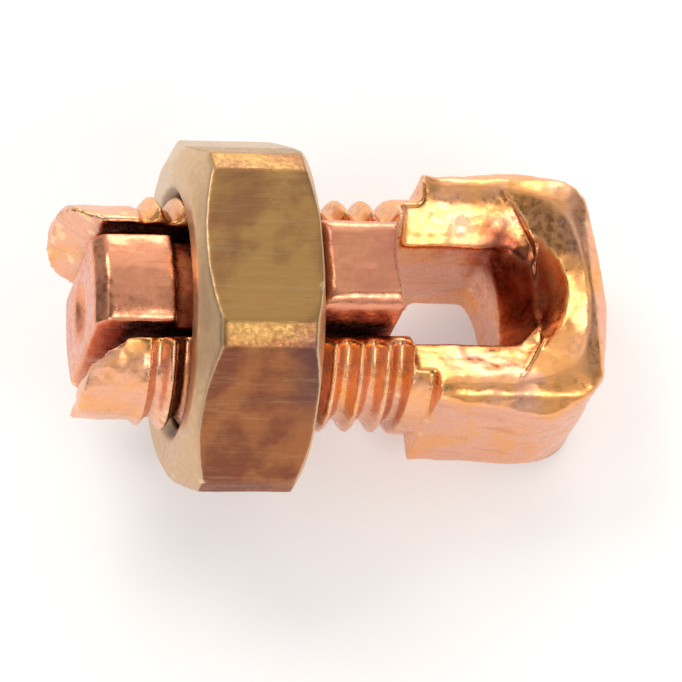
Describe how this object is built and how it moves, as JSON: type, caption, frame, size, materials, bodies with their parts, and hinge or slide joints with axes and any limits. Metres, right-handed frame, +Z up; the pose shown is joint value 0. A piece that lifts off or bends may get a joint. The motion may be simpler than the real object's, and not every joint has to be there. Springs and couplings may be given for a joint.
{
  "type": "split bolt connector",
  "caption": "Slotted copper bolt with a hex nut and a sliding pressure bar that clamps electrical conductors laid across the slot.",
  "frame": {"origin": "on the surface that the connector lies on, under the middle of its outline", "axes": "+X towards the head along the resting connector, +Y across the slot, +Z up; the bolt's own axis dips 15.4 degrees towards the head"},
  "size_m": [0.0264, 0.0176, 0.0168],
  "materials": {
    "bolt_copper": "bright forged copper",
    "bar_copper": "drawn red copper",
    "nut_bronze": "tarnished silicon bronze"
  },
  "bodies": {
    "bolt": {"split_bolt": "bolt_copper"},
    "bar": {"pressure_bar": "bar_copper"},
    "nut": {"hex_nut": "nut_bronze"}
  },
  "joints": [
    {"name": "bar_slide", "type": "slide", "parent": "bolt", "child": "bar", "axis": [0.964, 0, -0.2659], "range_m": [-0.00765, 0.00465]},
    {"name": "nut_turn", "type": "hinge", "parent": "bar", "child": "nut", "pos_m": [-0.00461, 0, 0.00843], "axis": [0.964, 0, -0.2659], "range_deg": [-2154.3, 1303.9]}
  ],
  "couplings": [
    {"joint": "bar_slide", "follows": "nut_turn", "m_per_rad": 0.00020213}
  ]
}
